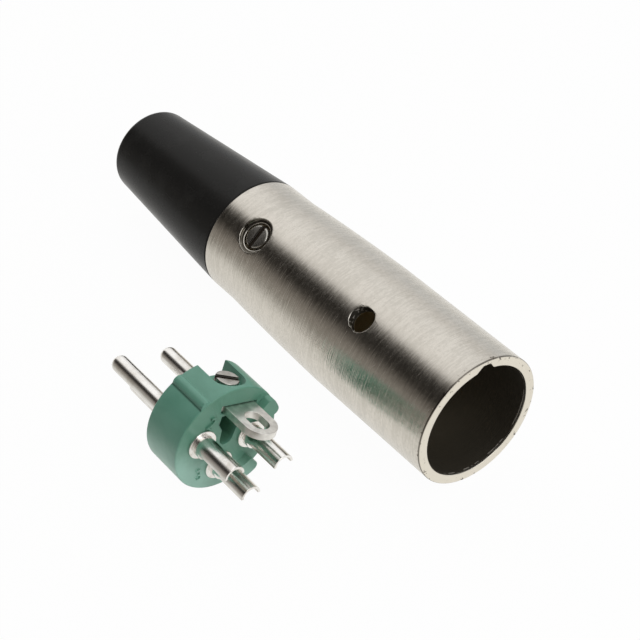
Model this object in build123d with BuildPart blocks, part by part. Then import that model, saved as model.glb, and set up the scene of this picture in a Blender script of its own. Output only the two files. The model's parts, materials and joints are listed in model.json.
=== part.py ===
# Three-pin audio cable plug, taken apart: the metal barrel with its rubber boot lies on its side,
# and the moulded pin insert lies beside it, turned end for end.
# Millimetres, +Z up. X runs along the barrel, +X out of its mouth, and the origin is the mouth's centre.
import os
from math import cos, radians, sin
from build123d import *

os.makedirs("parts", exist_ok=True)

# Barrel
barrel_radius = 9.5
barrel_length = 23.0
taper_length = 20.0
taper_swell = 0.1
collar_radius = 8.7
collar_length = 4.7
mouth_bore_radius = 8.15
mouth_edge = 0.2
waist_bore_radius = 6.9

# Keyway in the mouth and the hole that the lock screw backs into
lock_hole_radius = 1.82
lock_hole_setback = 17.0
lock_angle = -33.5
keyway_clearance = 0.35
keyway_shift = 0.5
keyway_radius = 8.9
keyway_ramp = 0.8
keyway_slope = 0.9
keyway_foot = 0.1

# Pin insert
insert_radius = 7.7
insert_thickness = 6.35
insert_clearance = 0.1
insert_edge = 0.25
rib_offset = 41.0
rib_width = 1.7
rib_height = 0.42
tab_height = 1.2
tab_width = 2.3
tab_outer_inset = 0.05
tab_ranges = [(38.0, 60.0), (127.0, 146.0)]
tab_corner = 0.8

# Pins and solder cups
pin_circle_radius = 3.95
pin_radius = 1.2
pin_held_radius = 1.4
pin_length = 12.5
pin_tip_radius = 0.9
ring_radius = 2.05
ring_height = 0.35
cup_radius = 1.45
cup_length = 6.95
cup_wall = 0.35
cup_base_length = 1.0
cup_floor = 0.6
cup_turn = -15.0
pin_seat_clearance = 0.02

# Lock screw and its pocket
screw_setback = 3.5
screw_head_radius = 1.58
screw_head_height = 1.2
screw_head_level = 7.35
screw_shank_radius = 0.95
screw_tip_level = 3.4
screw_thread_clearance = 0.05
screw_slot_width = 0.75
screw_slot_depth = 0.5
screw_slot_turn = -30.0
screw_edge = 0.1
pocket_radius = 2.25
pocket_gap = 0.05

# Ground lug
lug_offset = 0.5
lug_width = 4.7
lug_root_width = 5.4
lug_thickness = 1.0
lug_level = 5.15
lug_reach = 6.4
lug_eye_width = 2.4
lug_eye_start = 1.7
lug_eye_end = 5.4
lug_root_depth = 5.4
lug_root_sink = 0.35
lug_slot_clearance = 0.1

# Hollow in the insert's solder side
hollow_depth = 4.0
hollow_bottom_radius = 1.0
hollow_bottom_level = 0.1
hollow_neck_width = 2.3
hollow_top_width = 3.7
hollow_neck_level = 1.5
hollow_shoulder = 2.4
hollow_top = 3.65

# Cable clamp
clamp_inset = 7.4
clamp_angle = -36.1
clamp_bore_radius = 5.6
clamp_bore_lead = 0.8
clamp_dish_radius = 2.6
clamp_dish_depth = 0.6
clamp_hole_radius = 2.05
clamp_recess = 0.45
clamp_head_radius = 1.75
clamp_head_height = 0.95
clamp_thread_radius = 1.25
clamp_thread_clearance = 0.06
clamp_neck_radius = 0.8
clamp_neck_clearance = 0.06
clamp_button_radius = 1.15
clamp_button_height = 0.4
clamp_slot_width = 0.75
clamp_slot_depth = 0.45
clamp_slot_turn = 93.0
jaw_length = 6.0
jaw_gap = 0.3
jaw_end_gap = 0.6
jaw_bite_radius = 3.7
jaw_edge_level = 2.2
jaw_travel = 0.75
jaw_play = 0.04
jaw_tooth_depth = 0.3
jaw_tooth_count = 3

# Boot
boot_front_radius = 8.7
boot_end_radius = 6.6
boot_length = 27.6
boot_end_edge = 1.1
boot_neck_radius = 7.2
boot_neck_length = 4.2
boot_neck_clearance = 0.05
boot_cavity_radius = 5.2
boot_cavity_length = 16.0
boot_throat_length = 3.0
cable_bore_radius = 3.3

# Where the insert lies: place on the table, and how it is turned
insert_x = -24.3
insert_y = -25.9
insert_yaw = 1.45
insert_pitch = -2.1
insert_roll = -19.7

# Places that follow from the sizes above
floor_level = -barrel_radius
barrel_end = -barrel_length
collar_start = barrel_end - taper_length
collar_end = collar_start - collar_length
seat_bore_radius = insert_radius + insert_clearance
seat_front = -(lock_hole_setback - screw_setback)
seat_shoulder = seat_front - insert_thickness - tab_height
key_angle = lock_angle + rib_offset
boot_end = collar_end - boot_length
neck_end = collar_end + boot_neck_length
cavity_end = neck_end - boot_cavity_length
key_turn = -rib_offset
keyway_reach = rib_width / 2 + keyway_clearance
keyway_far = -keyway_reach - keyway_shift
pin_seat_radius = pin_held_radius + pin_seat_clearance
tab_outer_radius = insert_radius - tab_outer_inset
tab_inner_radius = tab_outer_radius - tab_width
pocket_floor = screw_head_level - screw_head_height - pocket_gap
lug_underside = lug_level - lug_thickness
cup_end = insert_thickness + cup_length


# Outer radius of the taper at a place along the barrel
def barrel_surface(x):
    share = (barrel_end - x) / taper_length
    swell = taper_swell * (1 - (2 * share - 1) ** 2)
    return barrel_radius + (collar_radius - barrel_radius) * share + swell


clamp_place = collar_end + clamp_inset
clamp_bore_front = clamp_place + jaw_length / 2 + jaw_end_gap
clamp_surface = barrel_surface(clamp_place)
clamp_head_top = clamp_surface - clamp_recess
clamp_head_seat = clamp_head_top - clamp_head_height
clamp_floor = clamp_head_seat - jaw_travel - jaw_play
jaw_radius = clamp_bore_radius - jaw_gap
clamp_button_top = jaw_bite_radius + jaw_tooth_depth + clamp_button_height
clamp_angles = {"upper": clamp_angle, "lower": clamp_angle + 180}


# Side and up of a point at an angle from straight up
def around(angle, radius):
    return radius * sin(radians(angle)), radius * cos(radians(angle))


# Plane square to the barrel's radius, with its own x along the barrel
def radial_plane(x, angle, radius):
    return Plane(origin=(x, *around(angle, radius)), x_dir=(1, 0, 0), z_dir=(0, *around(angle, 1)))


# Plane across the barrel, with its own y along the radius at an angle
def cross_plane(x, angle):
    return Plane(origin=(x, 0, 0), x_dir=(0, *around(angle + 90, 1)), z_dir=(1, 0, 0))


# The insert's own frame: x and y across it with the lock screw at the top, z towards the solder cups
axis = Vector(
    cos(radians(insert_yaw)) * cos(radians(insert_pitch)),
    sin(radians(insert_yaw)) * cos(radians(insert_pitch)),
    sin(radians(insert_pitch)),
)
level_side = Vector(-sin(radians(insert_yaw)), cos(radians(insert_yaw)), 0)
level_up = axis.cross(level_side)
across = level_side * cos(radians(insert_roll)) + level_up * sin(radians(insert_roll))
insert_z = floor_level + insert_radius * level_up.Z + max(0, -insert_thickness * axis.Z)
insert_plane = Plane(origin=(insert_x, insert_y, insert_z), x_dir=across, z_dir=axis)
pin_spots = {
    "pin_1": (-pin_circle_radius, 0),
    "pin_2": (pin_circle_radius, 0),
    "pin_3": (0, -pin_circle_radius),
}


# Plane across the insert at a height above its axis, its own y towards the pin tips
def insert_side_plane(level):
    place = insert_plane.from_local_coords((0, level, screw_setback))
    return Plane(origin=place, x_dir=insert_plane.x_dir, z_dir=insert_plane.y_dir)


# Barrel: turned outside, bored in steps, with the insert's shoulder inside
with BuildPart() as shell:
    with BuildSketch(Plane.XZ):
        with BuildLine():
            Line((-mouth_edge, barrel_radius), (barrel_end, barrel_radius))
            ThreePointArc(
                (barrel_end, barrel_radius),
                (barrel_end - taper_length / 2, barrel_surface(barrel_end - taper_length / 2)),
                (collar_start, collar_radius),
            )
            Polyline(
                (collar_start, collar_radius),
                (collar_end, collar_radius),
                (collar_end, boot_neck_radius),
                (neck_end, boot_neck_radius),
                (neck_end, clamp_bore_radius),
                (clamp_bore_front - clamp_bore_lead, clamp_bore_radius),
                (clamp_bore_front, waist_bore_radius),
                (seat_shoulder, waist_bore_radius),
                (seat_shoulder, seat_bore_radius),
                (seat_front, seat_bore_radius),
                (seat_front, mouth_bore_radius),
                (0, mouth_bore_radius),
                (0, barrel_radius - mouth_edge),
                (-mouth_edge, barrel_radius),
            )
        make_face()
    revolve(axis=Axis.X)

    # Keyway along the bore, with a long ramp on one side and a steeper one on the other
    with BuildSketch(cross_plane(0, key_angle)):
        with BuildLine():
            Polyline(
                (keyway_far, waist_bore_radius),
                (keyway_far, mouth_bore_radius - keyway_foot),
                (keyway_far + keyway_ramp, keyway_radius),
                (keyway_reach - keyway_slope, keyway_radius),
                (keyway_reach, seat_bore_radius),
                (keyway_reach, waist_bore_radius),
                close=True,
            )
        make_face()
    extrude(amount=seat_shoulder, mode=Mode.SUBTRACT)

    # Lock hole through one wall
    with BuildSketch(radial_plane(-lock_hole_setback, lock_angle, barrel_radius)):
        Circle(lock_hole_radius)
    extrude(amount=-(barrel_radius - waist_bore_radius), mode=Mode.SUBTRACT)

    # Stepped holes for the two clamp screws: a shallow dish, a hole for the sunk head and a tapped hole
    for angle in clamp_angles.values():
        with BuildSketch(radial_plane(clamp_place, angle, clamp_surface - clamp_dish_depth)):
            Circle(clamp_dish_radius)
        extrude(amount=clamp_surface, mode=Mode.SUBTRACT)
        with BuildSketch(radial_plane(clamp_place, angle, clamp_floor)):
            Circle(clamp_hole_radius)
        extrude(amount=clamp_surface, mode=Mode.SUBTRACT)
        with BuildSketch(radial_plane(clamp_place, angle, clamp_floor)):
            Circle(clamp_thread_radius + clamp_thread_clearance)
        extrude(amount=-clamp_floor / 2, mode=Mode.SUBTRACT)
shell.part.label = "shell"
export_step(shell.part, "parts/shell.step")

# Boot: soft cone behind the collar, with a neck inside it and a bore for the cable
with BuildPart() as strain_relief_boot:
    with BuildSketch(Plane.XZ):
        with BuildLine():
            Polyline(
                (neck_end, boot_cavity_radius),
                (neck_end, boot_neck_radius - boot_neck_clearance),
                (collar_end, boot_neck_radius - boot_neck_clearance),
                (collar_end, boot_front_radius),
                (boot_end, boot_end_radius),
                (boot_end, cable_bore_radius),
                (cavity_end - boot_throat_length, cable_bore_radius),
                (cavity_end, boot_cavity_radius),
                close=True,
            )
        make_face()
        end_corner = vertices().sort_by_distance((boot_end, boot_end_radius))[0]
        fillet(end_corner, boot_end_edge)
    revolve(axis=Axis.X)
strain_relief_boot.part.label = "strain_relief_boot"
export_step(strain_relief_boot.part, "parts/strain_relief_boot.step")

# Clamp jaws and their screws, one pair on each side of the cable
for side_name, angle in clamp_angles.items():
    jaw_plane = cross_plane(clamp_place, angle)
    with BuildPart() as clamp_jaw:
        with BuildSketch(jaw_plane.offset(-jaw_length / 2)):
            Circle(jaw_radius)
            Circle(jaw_bite_radius, mode=Mode.SUBTRACT)
            with Locations((0, jaw_edge_level - jaw_radius)):
                Rectangle(2 * jaw_radius, 2 * jaw_radius, mode=Mode.SUBTRACT)
        extrude(amount=jaw_length)
        for step in range(jaw_tooth_count):
            place = (step + 0.5) * jaw_length / jaw_tooth_count - jaw_length / 2
            with BuildSketch(jaw_plane.offset(place - jaw_length / jaw_tooth_count / 4)):
                Circle(jaw_bite_radius + jaw_tooth_depth)
            extrude(amount=jaw_length / jaw_tooth_count / 2, mode=Mode.SUBTRACT)
        with BuildSketch(radial_plane(clamp_place, angle, 0)):
            Circle(clamp_neck_radius + clamp_neck_clearance)
        extrude(amount=jaw_radius, mode=Mode.SUBTRACT)
        with BuildSketch(radial_plane(clamp_place, angle, 0)):
            Circle(clamp_button_radius + clamp_neck_clearance)
        extrude(amount=clamp_button_top + jaw_play, mode=Mode.SUBTRACT)
    clamp_jaw.part.label = f"clamp_jaw_{side_name}"
    export_step(clamp_jaw.part, f"parts/clamp_jaw_{side_name}.step")

    with BuildPart() as clamp_screw:
        with BuildSketch(radial_plane(clamp_place, angle, clamp_head_seat)):
            Circle(clamp_head_radius)
        extrude(amount=clamp_head_height)
        chamfer(clamp_screw.edges(), screw_edge)
        with BuildSketch(radial_plane(clamp_place, angle, jaw_radius + jaw_play)):
            Circle(clamp_thread_radius)
        extrude(amount=clamp_head_seat - jaw_radius - jaw_play)
        with BuildSketch(radial_plane(clamp_place, angle, clamp_button_top)):
            Circle(clamp_neck_radius)
        extrude(amount=jaw_radius + jaw_play - clamp_button_top)
        with BuildSketch(radial_plane(clamp_place, angle, clamp_button_top)):
            Circle(clamp_button_radius)
        extrude(amount=-clamp_button_height)
        with BuildSketch(radial_plane(clamp_place, angle, clamp_head_top)):
            Rectangle(2 * clamp_head_radius, clamp_slot_width, rotation=clamp_slot_turn)
        extrude(amount=-clamp_slot_depth, mode=Mode.SUBTRACT)
    clamp_screw.part.label = f"clamp_screw_{side_name}"
    export_step(clamp_screw.part, f"parts/clamp_screw_{side_name}.step")

# Insert body: moulded disc with a key rib, screw pocket, lug slot, hollow and two seating tabs
with BuildPart() as insert_body:
    with BuildSketch(insert_plane):
        Circle(insert_radius)
    extrude(amount=insert_thickness)
    chamfer(insert_body.edges(), insert_edge)

    with BuildSketch(insert_plane):
        with Locations(around(key_turn, insert_radius + rib_height - rib_width / 2)):
            Circle(rib_width / 2)
    extrude(amount=insert_thickness)

    for first, last in tab_ranges:
        with BuildSketch(insert_plane.offset(insert_thickness - insert_edge)):
            with BuildLine():
                outer = CenterArc((0, 0), tab_outer_radius, 90 - last, last - first)
                inner = CenterArc((0, 0), tab_inner_radius, 90 - last, last - first)
                Line(outer @ 0, inner @ 0)
                Line(outer @ 1, inner @ 1)
            make_face()
            fillet(vertices(), tab_corner)
        extrude(amount=tab_height + insert_edge)

    # Pocket round the lock screw, and a channel from it towards the pins, down to the lug
    with BuildSketch(insert_side_plane(pocket_floor)):
        Circle(pocket_radius)
    extrude(amount=insert_radius, mode=Mode.SUBTRACT)
    with BuildSketch(insert_side_plane(lug_level)):
        with Locations((0, screw_setback)):
            Rectangle(2 * pocket_radius, 2 * screw_setback)
    extrude(amount=insert_radius, mode=Mode.SUBTRACT)
    with BuildSketch(insert_side_plane(pocket_floor)):
        Circle(screw_shank_radius + screw_thread_clearance)
    extrude(amount=screw_tip_level - screw_thread_clearance - pocket_floor, mode=Mode.SUBTRACT)

    # Slot for the lug's root
    with BuildSketch(insert_plane.offset(insert_thickness)):
        with Locations((lug_offset, (lug_level + lug_underside) / 2)):
            Rectangle(lug_root_width + 2 * lug_slot_clearance, lug_thickness + 2 * lug_slot_clearance)
    extrude(amount=-(lug_root_depth + lug_slot_clearance), mode=Mode.SUBTRACT)

    # Bell-shaped hollow under the lug
    with BuildSketch(insert_plane.offset(insert_thickness)):
        with BuildLine():
            bottom = CenterArc((0, hollow_bottom_level), hollow_bottom_radius, 180, 180)
            Polyline(
                bottom @ 1,
                (hollow_neck_width / 2, hollow_neck_level),
                (hollow_top_width / 2, hollow_shoulder),
                (hollow_top_width / 2, hollow_top),
                (-hollow_top_width / 2, hollow_top),
                (-hollow_top_width / 2, hollow_shoulder),
                (-hollow_neck_width / 2, hollow_neck_level),
                bottom @ 0,
            )
        make_face()
    extrude(amount=-hollow_depth, mode=Mode.SUBTRACT)

    # Seats for the three pins
    with BuildSketch(insert_plane):
        with Locations(*pin_spots.values()):
            Circle(pin_seat_radius)
    extrude(amount=insert_thickness, mode=Mode.SUBTRACT)
insert_body.part.label = "insert_body"
export_step(insert_body.part, "parts/insert_body.step")

# Pins: turned in one piece with a ring and a half-cut solder cup
for pin_name, spot in pin_spots.items():
    with BuildPart() as pin:
        with BuildSketch(insert_plane.offset(-pin_length)):
            with Locations(spot):
                Circle(pin_radius)
        extrude(amount=pin_length)
        tip = pin.faces().sort_by(Axis(insert_plane.origin, insert_plane.z_dir))[0]
        fillet(tip.edges(), pin_tip_radius)
        with BuildSketch(insert_plane):
            with Locations(spot):
                Circle(pin_held_radius)
        extrude(amount=insert_thickness)
        with BuildSketch(insert_plane.offset(insert_thickness)):
            with Locations(spot):
                Circle(ring_radius)
        extrude(amount=ring_height)
        with BuildSketch(insert_plane.offset(insert_thickness)):
            with Locations(spot):
                Circle(cup_radius)
        extrude(amount=cup_length)
        with BuildSketch(insert_plane.offset(cup_end)):
            with Locations(spot):
                Circle(cup_radius - cup_wall)
        extrude(amount=-(cup_length - ring_height - cup_floor), mode=Mode.SUBTRACT)
        with BuildSketch(insert_plane.offset(cup_end)):
            with Locations(Location((*spot, 0), (0, 0, -cup_turn))):
                with Locations((0, -cup_radius)):
                    Rectangle(3 * cup_radius, 2 * cup_radius)
        extrude(amount=-(cup_length - ring_height - cup_base_length), mode=Mode.SUBTRACT)
    pin.part.label = pin_name
    export_step(pin.part, f"parts/{pin_name}.step")

# Ground lug: flat strip held in the slot, with a tapped hole for the lock screw and an eye for the wire
lug_origin = insert_plane.from_local_coords((lug_offset, lug_underside, insert_thickness))
lug_plane = Plane(origin=lug_origin, x_dir=insert_plane.z_dir, z_dir=insert_plane.y_dir)
with BuildPart() as ground_lug:
    with BuildSketch(lug_plane):
        with Locations((-(lug_root_depth + lug_root_sink) / 2, 0)):
            Rectangle(lug_root_depth - lug_root_sink, lug_root_width)
        with Locations((lug_reach - lug_width / 2, 0)):
            Circle(lug_width / 2)
        with Locations(((lug_reach - lug_width / 2 - lug_root_depth) / 2, 0)):
            Rectangle(lug_reach - lug_width / 2 + lug_root_depth, lug_width)
        with Locations(((lug_eye_start + lug_eye_end) / 2, 0)):
            SlotOverall(lug_eye_end - lug_eye_start, lug_eye_width, mode=Mode.SUBTRACT)
        with Locations((screw_setback - insert_thickness, -lug_offset)):
            Circle(screw_shank_radius + screw_thread_clearance, mode=Mode.SUBTRACT)
    extrude(amount=lug_thickness)
ground_lug.part.label = "ground_lug"
export_step(ground_lug.part, "parts/ground_lug.step")

# Lock screw: backs out of the insert into the barrel's lock hole
with BuildPart() as lock_screw:
    with BuildSketch(insert_side_plane(screw_head_level)):
        Circle(screw_head_radius)
    extrude(amount=-screw_head_height)
    chamfer(lock_screw.edges(), screw_edge)
    with BuildSketch(insert_side_plane(screw_tip_level)):
        Circle(screw_shank_radius)
    extrude(amount=screw_head_level - screw_head_height - screw_tip_level)
    with BuildSketch(insert_side_plane(screw_head_level)):
        Rectangle(2 * screw_head_radius, screw_slot_width, rotation=screw_slot_turn)
    extrude(amount=-screw_slot_depth, mode=Mode.SUBTRACT)
lock_screw.part.label = "lock_screw"
export_step(lock_screw.part, "parts/lock_screw.step")
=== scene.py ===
import json
from math import asin, cos, degrees, pi, radians, sin

import bmesh
import bpy
from mathutils import Matrix, Vector


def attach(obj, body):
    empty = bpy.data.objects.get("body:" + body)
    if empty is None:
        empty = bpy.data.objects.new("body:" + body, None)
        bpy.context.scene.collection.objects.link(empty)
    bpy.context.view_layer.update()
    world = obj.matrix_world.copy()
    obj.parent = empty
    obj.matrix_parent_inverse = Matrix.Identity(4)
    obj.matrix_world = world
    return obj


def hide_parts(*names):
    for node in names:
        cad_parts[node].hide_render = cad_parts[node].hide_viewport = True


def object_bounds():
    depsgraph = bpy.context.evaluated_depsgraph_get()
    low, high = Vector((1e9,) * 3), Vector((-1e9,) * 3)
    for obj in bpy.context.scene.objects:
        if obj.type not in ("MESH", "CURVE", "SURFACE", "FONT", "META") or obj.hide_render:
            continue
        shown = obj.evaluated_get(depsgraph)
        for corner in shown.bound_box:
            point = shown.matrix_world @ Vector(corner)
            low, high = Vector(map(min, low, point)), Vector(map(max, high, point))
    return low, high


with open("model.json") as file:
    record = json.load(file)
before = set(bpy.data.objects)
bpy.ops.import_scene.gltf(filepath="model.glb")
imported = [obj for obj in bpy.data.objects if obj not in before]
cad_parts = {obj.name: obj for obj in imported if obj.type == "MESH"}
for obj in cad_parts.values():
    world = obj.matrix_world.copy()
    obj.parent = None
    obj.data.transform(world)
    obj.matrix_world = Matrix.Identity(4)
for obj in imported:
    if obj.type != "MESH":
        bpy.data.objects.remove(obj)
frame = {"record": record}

# A three-pin audio cable plug, shown apart: barrel and boot on their side, pin insert beside them.
# Lengths in the dictionaries are millimetres and angles are degrees; meshes are made in metres.
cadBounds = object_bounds()
scene = bpy.context.scene
mm = 0.001
mounts = {mount["name"]: mount for mount in frame["record"]["mounts"]}


# Sockets and node trees

class Wire:
    # a node's output; arithmetic on it adds math nodes
    def __init__(self, graph, socket):
        self.graph = graph
        self.socket = socket

    def out(self, name):
        return Wire(self.graph, self.socket.node.outputs[name])

    def __add__(self, other):
        return self.graph.maths("ADD", self, other)

    def __radd__(self, other):
        return self.graph.maths("ADD", other, self)

    def __sub__(self, other):
        return self.graph.maths("SUBTRACT", self, other)

    def __rsub__(self, other):
        return self.graph.maths("SUBTRACT", other, self)

    def __mul__(self, other):
        return self.graph.maths("MULTIPLY", self, other)

    def __rmul__(self, other):
        return self.graph.maths("MULTIPLY", other, self)

    def __truediv__(self, other):
        return self.graph.maths("DIVIDE", self, other)


class Graph:
    def __init__(self, tree):
        self.tree = tree

    def add(self, kind, settings={}, inputs={}, output=0):
        node = self.tree.nodes.new(kind)
        for name, value in settings.items():
            if name == "stops":
                ramp = node.color_ramp
                ramp.elements[0].position, ramp.elements[0].color = value[0]
                ramp.elements[1].position, ramp.elements[1].color = value[-1]
                for place, colour in value[1:-1]:
                    ramp.elements.new(place).color = colour
            else:
                setattr(node, name, value)
        for name, value in inputs.items():
            if isinstance(value, Wire):
                self.tree.links.new(value.socket, node.inputs[name])
            else:
                node.inputs[name].default_value = value
        return Wire(self, node.outputs[output]) if node.outputs else node

    def maths(self, operation, first, second=0.0):
        return self.add("ShaderNodeMath", {"operation": operation}, {0: first, 1: second})

    def mixed(self, factor, first, second):
        return self.add("ShaderNodeMix", {"data_type": "RGBA"}, {0: factor, 6: first, 7: second}, 2)

    def spread(self, value, low, high, start=0.0, end=1.0):
        settings = {"interpolation_type": "SMOOTHSTEP"}
        inputs = {0: value, 1: low, 2: high, 3: start, 4: end}
        return self.add("ShaderNodeMapRange", settings, inputs)

    def reach(self, length, low, high, start=0.0, end=1.0):
        # a spread whose limits are millimetres
        return self.spread(length, low * mm, high * mm, start, end)

    def band(self, length, low, lowFull, highFull, high):
        return self.reach(length, low, lowFull) * self.reach(length, high, highFull)

    def noise(self, place, scale, detail, rough, twist=0.0, turn=(0, 0, 0), shift=(0, 0, 0)):
        # a scale of three numbers draws the pattern out along the axes
        if isinstance(scale, tuple):
            mapping = {"Vector": place, "Location": shift, "Rotation": turn, "Scale": scale}
            place = self.add("ShaderNodeMapping", {}, mapping)
            scale = 1.0
        inputs = {"Vector": place, "Scale": scale, "Detail": detail, "Roughness": rough, "Distortion": twist}
        return self.add("ShaderNodeTexNoise", {}, inputs)

    def noises(self, place, look):
        return [self.noise(place, *values) for values in look["noises"].values()]

    def parts(self, place):
        split = self.add("ShaderNodeSeparateXYZ", {}, {0: place})
        return split.out("X"), split.out("Y"), split.out("Z")

    def recess(self):
        # how deep in a slot or a cup the point lies, as markRecess wrote it
        return self.add("ShaderNodeAttribute", {"attribute_name": "recess"}, {}, "Fac")


def newMaterial(name, fixed, build, look):
    # fixed: values of the shader that stay; build: gives what changes over the surface, from look's values
    made = bpy.data.materials.new(name)
    made.use_nodes = True
    made.node_tree.nodes.clear()
    graph = Graph(made.node_tree)
    place = graph.add("ShaderNodeTexCoord").out("Object")
    inputs = dict(fixed)
    inputs.update(build(graph, place, look))
    shader = graph.add("ShaderNodeBsdfPrincipled", {}, inputs)
    graph.add("ShaderNodeOutputMaterial", {}, {"Surface": shader})
    return made


def bumped(graph, height, depth, strength=1.0):
    return graph.add("ShaderNodeBump", {}, {"Height": height, "Distance": depth * mm, "Strength": strength})


def shade(red, green, blue):
    return (red, green, blue, 1.0)


allMetal = {"Metallic": 1.0}
materials = {}


# Mesh tools

plain = Matrix.Identity(4)
largeAngle = 32  # on the large pieces, edges sharper than this stay edges


def axesMatrix(origin, along, side):
    # local z follows along, local x follows side; origin in metres
    zAxis = Vector(along).normalized()
    xAxis = (Vector(side) - zAxis * zAxis.dot(Vector(side))).normalized()
    turn = Matrix((xAxis, zAxis.cross(xAxis), zAxis)).transposed().to_4x4()
    return Matrix.Translation(Vector(origin)) @ turn


def newPiece(name, data):
    piece = bpy.data.objects.new(name, data)
    scene.collection.objects.link(piece)
    return piece


def meshOf(name, points, faces):
    mesh = bpy.data.meshes.new(name)
    mesh.from_pydata(points, [], faces)
    return mesh


def solidPiece(name, points, faces):
    # a closed piece whose faces point outwards
    mesh = meshOf(name, points, faces)
    work = bmesh.new()
    work.from_mesh(mesh)
    bmesh.ops.recalc_face_normals(work, faces=work.faces)
    if work.calc_volume(signed=True) < 0:
        bmesh.ops.reverse_faces(work, faces=work.faces)
    work.to_mesh(mesh)
    work.free()
    return newPiece(name, mesh)


def settled(piece):
    # bakes a piece's modifiers into its mesh
    graph = bpy.context.evaluated_depsgraph_get()
    mesh = bpy.data.meshes.new_from_object(piece.evaluated_get(graph))
    piece.modifiers.clear()
    piece.data = mesh
    return piece


def combine(piece, other, operation="DIFFERENCE"):
    step = piece.modifiers.new("combine", "BOOLEAN")
    step.operation = operation
    step.solver = "EXACT"
    step.object = other
    settled(piece)
    bpy.data.objects.remove(other)
    return piece


def smoothed(piece, angle=38):
    for face in piece.data.polygons:
        face.use_smooth = True
    piece.data.set_sharp_from_angle(angle=radians(angle))
    step = piece.modifiers.new("flatten", "WEIGHTED_NORMAL")
    step.keep_sharp = True
    return settled(piece)


def softened(piece, width, angle=40, steps=2):
    # takes the sharpness off edges, as a mould or a deburring brush does
    step = piece.modifiers.new("soften", "BEVEL")
    step.limit_method = "ANGLE"
    step.angle_limit = radians(angle)
    step.width = width * mm
    step.segments = steps
    step.use_clamp_overlap = False
    return settled(piece)


def markRecess(mesh, share):
    marks = mesh.attributes.new("recess", "FLOAT", "POINT")
    for point, mark in zip(mesh.vertices, marks.data):
        mark.value = share(point.co)


def rounded(corners, steps=4):
    # corners of a profile as (along, radius, fillet): each fillet becomes an arc
    points = []
    count = len(corners)
    for index, (along, radius, fillet) in enumerate(corners):
        here = Vector((along, radius))
        if fillet == 0:
            points.append(here)
            continue
        before = (Vector(corners[index - 1][:2]) - here).normalized()
        after = (Vector(corners[(index + 1) % count][:2]) - here).normalized()
        half = before.angle(after) / 2
        reach = fillet / abs(sin(half) / cos(half))
        middle = here + (before + after).normalized() * fillet / sin(half)
        start = here + before * reach - middle
        end = here + after * reach - middle
        sweep = start.angle_signed(end)
        for step in range(steps + 1):
            turn = Matrix.Rotation(-sweep * step / steps, 2)
            points.append(middle + turn @ start)
    return points


def turned(name, profile, segments, matrix=plain, closed=False):
    # revolves a profile of (along, radius) in millimetres; one that isn't closed ends on the axis
    points = []
    faces = []
    rings = []
    for along, radius in profile:
        if radius < 1e-6:
            rings.append([len(points)])
            points.append(matrix @ Vector((0, 0, along * mm)))
            continue
        ring = []
        for step in range(segments):
            angle = 2 * pi * step / segments
            ring.append(len(points))
            points.append(matrix @ Vector((radius * mm * cos(angle), radius * mm * sin(angle), along * mm)))
        rings.append(ring)
    pairs = list(zip(rings, rings[1:]))
    if closed:
        pairs.append((rings[-1], rings[0]))
    for first, second in pairs:
        for step in range(segments):
            after = (step + 1) % segments
            if len(first) == 1:
                faces.append((first[0], second[after], second[step]))
            elif len(second) == 1:
                faces.append((first[step], first[after], second[0]))
            else:
                faces.append((first[step], first[after], second[after], second[step]))
    return solidPiece(name, points, faces)


def prism(name, outline, low, high, matrix=plain):
    # a closed outline of (x, y) in millimetres, raised from low to high along local z
    count = len(outline)
    points = [matrix @ Vector((x * mm, y * mm, low * mm)) for x, y in outline]
    points += [matrix @ Vector((x * mm, y * mm, high * mm)) for x, y in outline]
    faces = [tuple(range(count)), tuple(range(count, 2 * count))]
    for step in range(count):
        after = (step + 1) % count
        faces.append((step, after, after + count, step + count))
    return solidPiece(name, points, faces)


def rectangle(left, bottom, right, top):
    return [(left, bottom), (right, bottom), (right, top), (left, top)]


def arcPoints(centre, radius, first, last, steps):
    # angles are turned from up towards +x, as on a clock
    points = []
    for step in range(steps + 1):
        angle = radians(first + (last - first) * step / steps)
        points.append((centre[0] + radius * sin(angle), centre[1] + radius * cos(angle)))
    return points


def drill(matrix, radius, low, high, segments):
    return turned("drill", [(low, 0), (low, radius), (high, radius), (high, 0)], segments, matrix)


# Frames of the pieces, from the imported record

def mountPlace(name):
    return Vector(mounts[name]["pos_m"])


contactAxis = -Vector(mounts["contact_1"]["axis"])  # towards the solder cups
contactHalf = mounts["contact_1"]["dims"]["length_mm"] / 2 * mm
insertOrigin = (mountPlace("contact_1") + mountPlace("contact_2")) / 2 + contactAxis * contactHalf
insertSide = mountPlace("contact_2") - mountPlace("contact_1")
insertFrame = axesMatrix(insertOrigin, contactAxis, insertSide)
barrelFrame = axesMatrix((0, 0, 0), (1, 0, 0), (0, 1, 0))


def outwards(angle):
    # across the barrel, at an angle from up towards +Y
    return Vector((0, sin(radians(angle)), cos(radians(angle))))


def radialFrame(setback, angle):
    # local z leaves the barrel's axis, local x runs along the barrel
    return axesMatrix((-setback * mm, 0, 0), outwards(angle), (1, 0, 0))


# Barrel

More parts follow.
